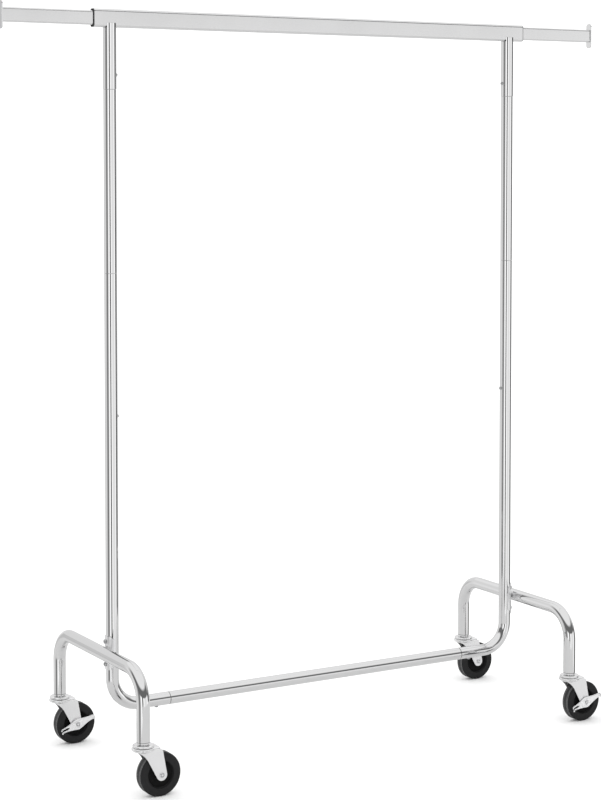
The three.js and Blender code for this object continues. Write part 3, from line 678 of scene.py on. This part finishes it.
def notched_collar(radius, low, high, centre):
    """Locking collar whose edge is cut with notches."""
    profile = [(COLLAR_BORE, low), (radius, low), (radius, high), (COLLAR_BORE, high)]
    bm = turned(profile, centre, sides=4 * COLLAR_NOTCHES)
    top = [f for f in bm.faces if f.normal.z > 0.9]
    teeth = sorted(top, key=lambda f: math.atan2(*(f.calc_center_median() - Vector(centre)).xy))
    cut = [f for k, f in enumerate(teeth) if k % 4 < 2]
    made = bmesh.ops.extrude_face_region(bm, geom=cut)["geom"]
    bmesh.ops.delete(bm, geom=cut, context="FACES_ONLY")
    bmesh.ops.translate(bm, verts=verts_in(made), vec=(0, 0, -NOTCH_SHARE * (high - low)))
    return bm


def join_meshes(*parts):
    """Several bmeshes as one."""
    whole = bmesh.new()
    for part in parts:
        mesh = bpy.data.meshes.new("part")
        part.to_mesh(mesh)
        part.free()
        whole.from_mesh(mesh)
        bpy.data.meshes.remove(mesh)
    return whole


polished_zinc = new_finish(
    "polished_zinc", ZINC, (0.05, 0.09), patch=40, metallic=1, fineness=420, depth=2 * MICRON)

for caster in CASTERS:
    stem = joint_place(f"{caster}_swivel")
    over = (stem.x, stem.y, 0)
    low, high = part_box(f"{caster}_leg_socket")
    flange = low.z + SOCKET_FLANGE
    bore = STEM_RADIUS + NOTCH_GAP
    lip = tube_radius - NOTCH_GAP
    grip = tube_radius - TUBE_WALL - NOTCH_GAP
    profile = [
        (bore, low.z), (lip, low.z), (lip, flange), (grip, flange), (grip, high.z),
        (bore, high.z)]
    add_piece(
        f"{caster}_socket", turned(profile, over, rounding=0.2 * MM), "frame", "black_plastic",
        black_plastic, f"{caster}_leg_socket")
    collar_top = low.z - NOTCH_GAP

    low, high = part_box(f"{caster}_caster_seat")
    cap_radius = (high.y - low.y) / 2
    cap_low = low.z + CAP_RIM_RISE
    cap_top = low.z + CAP_TOP_RISE
    pin_top = low.z + PIN_HEAD[1]
    profile = [
        (0, low.z), (PIN_HEAD[0], low.z), (PIN_HEAD[0], pin_top), (STEM_RADIUS, pin_top),
        (STEM_RADIUS, cap_low + CAP_PLATE), (cap_radius - CAP_HOLLOW, cap_low + CAP_PLATE),
        (cap_radius - 1.5 * MM, cap_low), (cap_radius, cap_low),
        (cap_radius, cap_low + CAP_RIM_HEIGHT), (cap_radius - 2.4 * MM, cap_top - CAP_STEP),
        (cap_radius - 7 * MM, cap_top), (CAP_CROWN, cap_top - CAP_STEP),
        (COLLAR_NECK, cap_top - CAP_STEP), (COLLAR_NECK, collar_top),
        (STEM_RADIUS, collar_top), (STEM_RADIUS, high.z - STEM_POINT),
        (STEM_RADIUS - 1.5 * MM, high.z), (0, high.z)]
    body = turned(profile, over, closed=False, rounding=0.8 * MM, soft=3)
    collar = notched_collar(COLLAR_RADIUS, cap_top - 0.8 * MM, collar_top, over)
    add_piece(
        f"{caster}_swivel_cap", join_meshes(body, collar), "frame", "zinc_steel", polished_zinc,
        f"{caster}_caster_seat")

# ------------------------------------------------------------- Forks and axles
# Each fork is pressed from one strip of zinc plated steel: a round ball race on top, a crown
# plate, and two legs folded down to the axle, which is riveted over at both ends.
FORK_PLATE = 2.2 * MM
FORK_FOLD = 4.5 * MM
HUB_CLEARANCE = 1 * MM
FORK_FOOT = 13 * MM                # radius of the foot of each leg, round the axle
FOOT_START, FOOT_SWEEP = math.radians(13.5), math.radians(166.5)
FOOT_STEPS = 14
FOLD_STEPS = 6
CROWN_RISE = 64 * MM               # the crown above the axle
CROWN_FRONT = 18 * MM              # and ahead of the stem
CROWN_REAR = 1 * MM                # and behind the axle
WAIST_AHEAD, WAIST_DROP, WAIST_BEND = 2 * MM, 18 * MM, 13 * MM
SHOULDER_DROP = 8 * MM
REAR_BEND, FRONT_BEND = 6 * MM, 3 * MM
FORK_RIM = 0.8 * MM
RACE_RADIUS = 26 * MM
RACE_ABOVE_WHEEL = 6 * MM
RACE_BORE = STEM_RADIUS + 0.4 * MM
# Ball race from its underside up: how far in from its radius, and height
RACE_PROFILE = ((3 * MM, 0), (0, 3 * MM), (0, 5.6 * MM), (2 * MM, 8 * MM))
RACE_HEIGHT = 8 * MM
AXLE_RADIUS = 4 * MM
AXLE_HEAD_HEIGHT = 2.2 * MM
# Riveted face from its middle out: share of the head's radius, and how far it is sunk
RIVET_FACE = (
    (0, 0), (0.4, 0), (0.52, 1.1 * MM), (0.7, 1.1 * MM), (0.82, 0.4 * MM), (1, 1.2 * MM),
    (1, AXLE_HEAD_HEIGHT))
RIVET_GROOVE_SHADE = (0.45, 0.86)        # shares of the head's radius between which the groove is painted dark, as shade


def fork_sheet(stem, axle, outer):
    """Folded sheet of a fork: one leg and half the crown, mirrored."""
    crown = axle.z + CROWN_RISE
    fold = crown - FORK_FOLD
    front = stem.x - CROWN_FRONT
    bm = bmesh.new()
    foot = bm.verts.new((
        axle.x + FORK_FOOT * math.cos(FOOT_START), outer,
        axle.z + FORK_FOOT * math.sin(FOOT_START)))
    last, = verts_in(
        swing(bm, [foot], (axle.x, outer, axle.z), (0, 1, 0), FOOT_SWEEP, FOOT_STEPS))
    waist = bm.verts.new((stem.x - WAIST_AHEAD, outer, crown - WAIST_DROP))
    shoulder = bm.verts.new((front, outer, crown - SHOULDER_DROP))
    top_front = bm.verts.new((front, outer, fold))
    top_rear = bm.verts.new((axle.x + CROWN_REAR + FORK_FOLD * 0.24, outer, fold))
    chain = [last, waist, shoulder, top_front, top_rear, foot]
    for pair in zip(chain, chain[1:]):
        bm.edges.new(pair)
    for corner, offset in ((waist, WAIST_BEND), (top_rear, REAR_BEND), (top_front, FRONT_BEND)):
        bevelled(bm, [corner], offset, CORNER_STEPS)
    bmesh.ops.edgeloop_fill(bm, edges=bm.edges[:])
    top = [e for e in bm.edges if all(abs(v.co.z - fold) < WELDED for v in e.verts)]
    folded = swing(
        bm, top + list(top[0].verts), (0, outer - FORK_FOLD, fold), (1, 0, 0), math.pi / 2,
        FOLD_STEPS)
    run_on(bm, edges_in(folded), (0, FORK_FOLD - outer, 0))
    bmesh.ops.mirror(
        bm, geom=bm.verts[:] + bm.edges[:] + bm.faces[:], matrix=Matrix.Identity(4),
        merge_dist=WELDED, axis="Y")
    bmesh.ops.remove_doubles(bm, verts=bm.verts, dist=WELDED)
    return bm


for caster in CASTERS:
    stem = joint_place(f"{caster}_swivel")
    axle = joint_place(f"{caster}_wheel_spin")
    race_low = 2 * axle.z + RACE_ABOVE_WHEEL
    wheel_low, wheel_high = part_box(f"{caster}_wheel")
    leg_outer = (wheel_high.y - wheel_low.y) / 2 + HUB_CLEARANCE + FORK_PLATE
    sheet = fork_sheet(stem, axle, leg_outer)
    bmesh.ops.recalc_face_normals(sheet, faces=sheet.faces)
    make_thick(sheet, FORK_PLATE)
    round_rims(sheet, FORK_RIM, sharper_than=50, soft=3)
    bmesh.ops.translate(sheet, verts=sheet.verts, vec=(0, stem.y, 0))
    profile = [(RACE_BORE, race_low)]
    profile += [(RACE_RADIUS - inset, race_low + rise) for inset, rise in RACE_PROFILE]
    profile += [(RACE_BORE, race_low + RACE_HEIGHT)]
    race = turned(profile, (stem.x, stem.y, 0), rounding=1.1 * MM, soft=3)
    add_piece(
        f"{caster}_pressed_fork", join_meshes(sheet, race), f"{caster}_caster", "zinc_steel",
        zinc, f"{caster}_fork")

    low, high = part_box(f"{caster}_axle")
    head = (high.x - low.x) / 2
    near, far = low.y - axle.y, high.y - axle.y
    profile = [(head * share, near + sunk) for share, sunk in RIVET_FACE]
    profile += [(AXLE_RADIUS, near + AXLE_HEAD_HEIGHT)]
    profile += [(r, near + far - y) for r, y in profile][::-1]
    rivet = add_piece(
        f"{caster}_rivet_axle",
        turned(profile, axle, along=ALONG_Y, closed=False, rounding=0.25 * MM, sides=32),
        f"{caster}_caster", "zinc_steel", zinc, f"{caster}_axle")
    # The groove in each riveted face takes the darker steel: painted shade
    rivet.data.materials.append(fastener_steel)
    for part in rivet.data.polygons:
        across = part.center - axle
        reach = math.hypot(across.x, across.z) / head
        part.material_index = int(RIVET_GROOVE_SHADE[0] < reach < RIVET_GROOVE_SHADE[1])

# ------------------------------------------------------------- Wheels and bushes
# Hard black rubber wheels, moulded in one with dished faces, a raised hub and a flat tread
# with four fine ribs, each turning on a black nylon bush.
WHEEL_SIDES = 96
HUB_BORE, HUB_RADIUS, HUB_FOOT = 6.8 * MM, 12 * MM, 13.2 * MM
DISH_FOOT, DISH_RADIUS, DISH_DEPTH = 29.4 * MM, 32 * MM, 5.5 * MM
DISH_SHADE_REACH = 30.6 * MM             # inside this radius the rubber is painted darker, as shade in the dish
STEP_RADIUS, STEP_FOOT, STEP_DEPTH = 45 * MM, 45.6 * MM, 0.35 * MM
SHOULDER_RADIUS, SHOULDER_DEPTH = 47 * MM, 3 * MM
HUB_PROUD = 1.5 * MM               # the hub stands this far out of the rim
TREAD_RIBS = (9.5 * MM, 6 * MM, -6 * MM, -9.5 * MM)
RIB_HALF, RIB_HEIGHT = 0.45 * MM, 0.5 * MM
RUBBER = ((0.016, 0.016, 0.0165, 1), (0.011, 0.011, 0.0115, 1))
# Tread: wear, and painted sheen
WORN_AND_SHEEN = ((0.034, 0.034, 0.035, 1), (0.02, 0.02, 0.021, 1))
# Painted shade for the dish and the hub
DISH_SHADE = ((0.007, 0.007, 0.007, 1), (0.004, 0.004, 0.004, 1))
# Painted highlight lines along the rib tops
RIB_HIGHLIGHT = ((0.3, 0.3, 0.3, 1), (0.08, 0.08, 0.08, 1))

rubber = new_finish(
    "black_rubber", RUBBER, (0.5, 0.66), patch=60, metallic=0, fineness=1100,
    depth=30 * MICRON, specular=0.22)
worn_and_sheen_rubber = new_finish(
    "worn_and_sheen_rubber", WORN_AND_SHEEN, (0.4, 0.6), patch=90, metallic=0, fineness=1500,
    depth=60 * MICRON, specular=0.3)
rib_highlight_rubber = new_finish(
    "rib_highlight_rubber", RIB_HIGHLIGHT, (0.4, 0.6), patch=60, metallic=0, fineness=1500,
    depth=40 * MICRON)
dish_shade_rubber = new_finish(
    "dish_shade_rubber", DISH_SHADE, (0.6, 0.7), patch=60, metallic=0, fineness=1100,
    depth=30 * MICRON, specular=0.1)

for caster in CASTERS:
    axle = joint_place(f"{caster}_wheel_spin")
    low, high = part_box(f"{caster}_wheel")
    radius = axle.z
    floor = radius - RIB_HEIGHT
    hub_half = (high.y - low.y) / 2
    rim = hub_half - HUB_PROUD
    face = [
        (HUB_BORE, hub_half), (HUB_RADIUS, hub_half), (HUB_FOOT, rim - DISH_DEPTH),
        (DISH_FOOT, rim - DISH_DEPTH), (DISH_RADIUS, rim), (STEP_RADIUS, rim),
        (STEP_FOOT, rim - STEP_DEPTH), (SHOULDER_RADIUS, rim - STEP_DEPTH),
        (floor, rim - SHOULDER_DEPTH)]
    tread = [point for y in TREAD_RIBS for point in (
        (floor, y + 1.6 * RIB_HALF), (radius, y + RIB_HALF), (radius, y - RIB_HALF),
        (floor, y - 1.6 * RIB_HALF))]
    profile = face + tread + [(r, -y) for r, y in face][::-1]
    wheel = add_piece(
        f"{caster}_rubber_wheel",
        turned(profile, axle, along=ALONG_Y, rounding=0.2 * MM, sides=WHEEL_SIDES),
        f"{caster}_roller", "black_rubber", rubber, f"{caster}_wheel")
    for material in (worn_and_sheen_rubber, rib_highlight_rubber, dish_shade_rubber):
        wheel.data.materials.append(material)
    for part in wheel.data.polygons:
        across = part.center - axle
        reach = math.hypot(across.x, across.z)
        # The tread is painted lighter rubber: wear, and painted sheen
        on_tread = reach > floor - 0.4 * MM and abs(across.y) < rim - 2.6 * MM
        # The rib tops are painted pale: painted highlight lines
        part.material_index = on_tread + (on_tread and reach > radius - 0.12 * MM)
        # Faces inside the dish are painted the darkest rubber: painted shade
        if reach < DISH_SHADE_REACH:
            part.material_index = 3
    low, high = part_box(f"{caster}_hub_bush")
    reach = (high.y - low.y) / 2
    bore = AXLE_RADIUS + NOTCH_GAP
    profile = [(6.5 * MM, -reach), (6.5 * MM, reach), (bore, reach), (bore, -reach)]
    add_piece(
        f"{caster}_nylon_bush",
        turned(profile, axle, along=ALONG_Y, rounding=0.3 * MM, sides=32),
        f"{caster}_roller", "black_plastic", black_plastic, f"{caster}_hub_bush")

# ------------------------------------------------------------- Brake levers
# Two casters have a stamped, zinc plated lever on the axle, shaped like a leaf, with both ends
# curled outwards as foot pads. It rocks over a ramp washer that pushes the fork on the wheel.
LEVER_PLATE = 2 * MM
LEVER_PAD = 8 * MM                 # radius of the curl at each end
LEVER_TILT = math.radians(18)
LEVER_HALF = 46 * MM
LEVER_WIDTH = 26 * MM
LEVER_TIP = 9 * MM
LEVER_LEAF = (1.3, 1.8)            # powers that draw the leaf's sides in towards its ends
LEVER_LIP = 1.5 * MM
# Across the lever: share of the half width, and how far the turned rim stands proud there
LEVER_SECTION = (
    (-1, LEVER_LIP), (-0.93, LEVER_LIP), (-0.82, 0), (-0.5, 0), (-0.25, 0), (0, 0),
    (0.25, 0), (0.5, 0), (0.82, 0), (0.93, LEVER_LIP), (1, LEVER_LIP))
LEVER_CURL = math.radians(80)      # turn of each end's curl
LEVER_PRONG = 22 * MM              # from the axle to the fork in the lower arm
LEVER_STEPS = 10
CURL_STEPS = 8
BOSS_REACH, BOSS_HALF, BOSS_RISE = 15 * MM, 6.5 * MM, 1.3 * MM
# Ring round the axle: radius, and how far it stands in front of the plate
RING_PROFILE = ((6.6 * MM, -0.4 * MM), (9.4 * MM, -0.4 * MM), (8.6 * MM, 2 * MM),
                (7.2 * MM, 2 * MM))

lever_zinc = new_finish(
    "lever_zinc", ZINC, (0.08, 0.16), patch=40, metallic=0.6, fineness=420, depth=3 * MICRON)

for caster in BRAKED:
    axle = joint_place(f"{caster}_wheel_spin")
    low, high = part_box(f"{caster}_brake_lever")
    inner = high.y - axle.y
    flat = LEVER_HALF - LEVER_PAD
    halves = []
    for way in (-1, 1):
        bm = bmesh.new()
        row = [bm.verts.new((0, inner - LEVER_PLATE - lip, LEVER_WIDTH * across / 2))
               for across, lip in LEVER_SECTION]
        end = [bm.edges.new(pair) for pair in zip(row, row[1:])]
        width = LEVER_WIDTH
        for step in range(1, LEVER_STEPS + 1):
            along = step / LEVER_STEPS
            leaf = (1 - along ** LEVER_LEAF[0]) ** LEVER_LEAF[1]
            next_width = LEVER_TIP + (LEVER_WIDTH - LEVER_TIP) * leaf
            end = run_on(bm, end, (way * flat / LEVER_STEPS, 0, 0))
            verts = list({v for e in end for v in e.verts})
            bmesh.ops.scale(bm, verts=verts, vec=(1, 1, next_width / width))
            width = next_width
        halves.append(bm)
    bm = join_meshes(*halves)
    bmesh.ops.remove_doubles(bm, verts=bm.verts, dist=WELDED)
    tips = [v for v in bm.verts if abs(abs(v.co.x) - flat) < WELDED]
    for way in (-1, 1):
        end_verts = [v for v in tips if v.co.x * way > 0]
        end = [e for e in bm.edges if all(v in end_verts for v in e.verts)]
        swing(bm, end_verts + end, (way * flat, inner - LEVER_PAD, 0), (0, 0, 1),
              -way * LEVER_CURL, CURL_STEPS)
    bmesh.ops.recalc_face_normals(bm, faces=bm.faces)
    if sum(f.normal.y for f in bm.faces) > 0:
        bmesh.ops.reverse_faces(bm, faces=bm.faces)
    gap_half = 0.5 * max(abs(v.co.z) for v in tips)
    centres = [(face, face.calc_center_median()) for face in bm.faces]
    prong_gap = [face for face, centre in centres
                 if centre.x < -LEVER_PRONG and abs(centre.z) < gap_half]
    bmesh.ops.delete(bm, geom=prong_gap, context="FACES")
    centres = [(face, face.calc_center_median()) for face in bm.faces]
    boss = [face for face, centre in centres
            if abs(centre.x) < BOSS_REACH and abs(centre.z) < BOSS_HALF]
    bmesh.ops.inset_region(
        bm, faces=boss, thickness=BOSS_RISE, depth=BOSS_RISE, use_boundary=True,
        use_even_offset=True)
    make_thick(bm, LEVER_PLATE)
    round_rims(bm, 0.5 * MM, sharper_than=65)
    proud = inner - LEVER_PLATE
    ring = turned(
        [(radius, proud - ahead) for radius, ahead in RING_PROFILE], (0, 0, 0), along=ALONG_Y,
        rounding=0.4 * MM, sides=48)
    bm = join_meshes(bm, ring)
    bmesh.ops.transform(
        bm, matrix=Matrix.Translation(axle) @ Matrix.Rotation(-LEVER_TILT, 4, "Y"),
        verts=bm.verts)
    add_piece(
        f"{caster}_foot_lever", bm, f"{caster}_brake", "zinc_steel", lever_zinc,
        f"{caster}_brake_lever")

    low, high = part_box(f"{caster}_ramp_washer")
    washer_radius = (high.x - low.x) / 2
    near, far = low.y - axle.y, high.y - axle.y
    bore = AXLE_RADIUS + NOTCH_GAP
    profile = [(washer_radius, near), (washer_radius, far), (bore, far), (bore, near)]
    add_piece(
        f"{caster}_washer",
        turned(profile, axle, along=ALONG_Y, rounding=0.25 * MM, sides=48),
        f"{caster}_caster", "zinc_steel", zinc, f"{caster}_ramp_washer")

# ------------------------------------------------------------------ Studio
# A plain pale floor under soft white light from all round. Tall softboxes with dark gaps
# between them give bright plate its stripes, and the floor near the rack shows in it too.
FLOOR_TONE = 0.97
FLOOR_IN_PLATE = 0.6               # the floor as the bright metal shows it, lit by the sky
FLOOR_IN_GROUND = 0.74             # and further off, where the sky stands in for it
SKY = 1.28
CAMERA_PLACE = (-2.4901, -4.1847, 1.4270)
CAMERA_TURN = 30.216               # degrees from the rack's own front
CAMERA_DIP = 2.799                 # degrees below the horizon
# Bearing, in degrees to the right of the way back to the camera, and brightness from there on
BANDS = (
    (-180, 0.68), (-166, 0.7), (-157, 0.86), (-146, 0.86), (-136, 0.62), (-124, 0.6),
    (-112, 0.9), (-86, 0.76), (-72, 0.5), (-58, 0.18), (-46, 0.18), (-37, 0.66),
    (-27, 1.1), (-10, 1.4), (-7, 0.06), (9, 0.06), (12, 1.4), (22, 1.1), (34, 0.9),
    (72, 0.9), (77, 1.25), (90, 1.25), (95, 0.08), (120, 0.12), (130, 0.52), (164, 0.62),
    (180, 0.68))
HIGH_BANDS = ((-180, 0.8), (-110, 0.8), (-90, 0.16), (95, 0.16), (125, 0.8), (180, 0.8))
# Sines of the heights between which one zone of the studio passes into the next
GROUND_ZONE = (-0.4, -0.26)
HIGH_ZONE = (0.12, 0.2)
OVERHEAD_ZONE = (0.46, 0.62)
OVERHEAD = 0.93


def floor_square(name, size, z):
    bm = bmesh.new()
    bmesh.ops.create_grid(
        bm, x_segments=1, y_segments=1, size=size / 2, matrix=Matrix.Translation((0, 0, z)))
    mesh = bpy.data.meshes.new(name)
    bm.to_mesh(mesh)
    bm.free()
    floor = bpy.data.objects.new(name, mesh)
    bpy.context.scene.collection.objects.link(floor)
    return floor


pale = bpy.data.materials.new("pale_floor")
pale.use_nodes = True
pale_shader = pale.node_tree.nodes["Principled BSDF"]
in_plate = pale.node_tree.nodes.new("ShaderNodeLightPath")
floor_tone = pale.node_tree.nodes.new("ShaderNodeMix")
floor_tone.data_type = "RGBA"
floor_tone.inputs["A"].default_value = (FLOOR_TONE, FLOOR_TONE, FLOOR_TONE, 1)
floor_tone.inputs["B"].default_value = (FLOOR_IN_PLATE, FLOOR_IN_PLATE, FLOOR_IN_PLATE, 1)
pale.node_tree.links.new(in_plate.outputs["Is Glossy Ray"], floor_tone.inputs["Factor"])
pale.node_tree.links.new(floor_tone.outputs["Result"], pale_shader.inputs["Base Color"])
pale_shader.inputs["Roughness"].default_value = 0.9
pale_shader.inputs["Specular IOR Level"].default_value = 0
wide_floor = floor_square("wide_floor", 60, -0.0002)
wide_floor.data.materials.append(pale)
wide_floor.visible_glossy = False
near_floor = floor_square("near_floor", 2, -0.0001)
near_floor.data.materials.append(pale)

world = bpy.data.worlds.new("studio")
bpy.context.scene.world = world
world.use_nodes = True
world.cycles.sampling_method = "NONE"
tree = world.node_tree
tree.nodes.clear()
link = tree.links.new
direction = tree.nodes.new("ShaderNodeTexCoord")
parts = tree.nodes.new("ShaderNodeSeparateXYZ")
bearing = tree.nodes.new("ShaderNodeMath")
bearing.operation = "ARCTAN2"
turn = tree.nodes.new("ShaderNodeVectorRotate")
turn.rotation_type = "Z_AXIS"
turn.inputs["Angle"].default_value = math.radians(CAMERA_TURN)
link(direction.outputs["Generated"], turn.inputs["Vector"])
link(turn.outputs["Vector"], parts.inputs["Vector"])
flip = tree.nodes.new("ShaderNodeMath")
flip.operation = "MULTIPLY"
flip.inputs[1].default_value = -1
link(parts.outputs["Y"], flip.inputs[0])
link(parts.outputs["X"], bearing.inputs[0])
link(flip.outputs["Value"], bearing.inputs[1])
share = tree.nodes.new("ShaderNodeMapRange")
share.inputs["From Min"].default_value = -math.pi
share.inputs["From Max"].default_value = math.pi
link(bearing.outputs["Value"], share.inputs["Value"])


def round_the_compass(bands):
    """Brightness by bearing, as a colour."""
    ramp = tree.nodes.new("ShaderNodeValToRGB")
    stops = ramp.color_ramp.elements
    for k, (degrees, level) in enumerate(bands):
        place = (degrees + 180) / 360
        stop = stops[k] if k < 2 else stops.new(place)
        stop.position = place
        stop.color = (level, level, level, 1)
    link(share.outputs["Result"], ramp.inputs["Fac"])
    return ramp.outputs["Color"]


def pass_into(below, above, zone):
    """One zone of the studio passing into a higher one between two heights."""
    climb = tree.nodes.new("ShaderNodeMapRange")
    climb.interpolation_type = "SMOOTHSTEP"
    climb.inputs["From Min"].default_value, climb.inputs["From Max"].default_value = zone
    link(parts.outputs["Z"], climb.inputs["Value"])
    both = tree.nodes.new("ShaderNodeMix")
    both.data_type = "RGBA"
    link(climb.outputs["Result"], both.inputs["Factor"])
    for tone, socket in ((below, both.inputs["A"]), (above, both.inputs["B"])):
        if isinstance(tone, float):
            socket.default_value = (tone, tone, tone, 1)
        else:
            link(tone, socket)
    return both.outputs["Result"]


dome = pass_into(FLOOR_IN_GROUND, round_the_compass(BANDS), GROUND_ZONE)
dome = pass_into(dome, round_the_compass(HIGH_BANDS), HIGH_ZONE)
dome = pass_into(dome, OVERHEAD, OVERHEAD_ZONE)
seen = tree.nodes.new("ShaderNodeLightPath")
shown = tree.nodes.new("ShaderNodeMix")
shown.data_type = "RGBA"
shown.inputs["A"].default_value = (SKY, SKY, SKY, 1)
link(seen.outputs["Is Glossy Ray"], shown.inputs["Factor"])
link(dome, shown.inputs["B"])
sky = tree.nodes.new("ShaderNodeBackground")
link(shown.outputs["Result"], sky.inputs["Color"])
out = tree.nodes.new("ShaderNodeOutputWorld")
link(sky.outputs["Background"], out.inputs["Surface"])

lens = bpy.data.cameras.new("camera")
lens.sensor_width = 36
lens.lens = 89.868
lens.shift_y = -0.185
lens.clip_end = 100
camera = bpy.data.objects.new("camera", lens)
camera.location = CAMERA_PLACE
camera.rotation_euler = (
    math.radians(90 - CAMERA_DIP), 0, -math.radians(CAMERA_TURN))
bpy.context.scene.collection.objects.link(camera)
bpy.context.scene.camera = camera
bpy.context.scene.view_settings.view_transform = "Standard"
bpy.context.scene.cycles.use_denoising = True
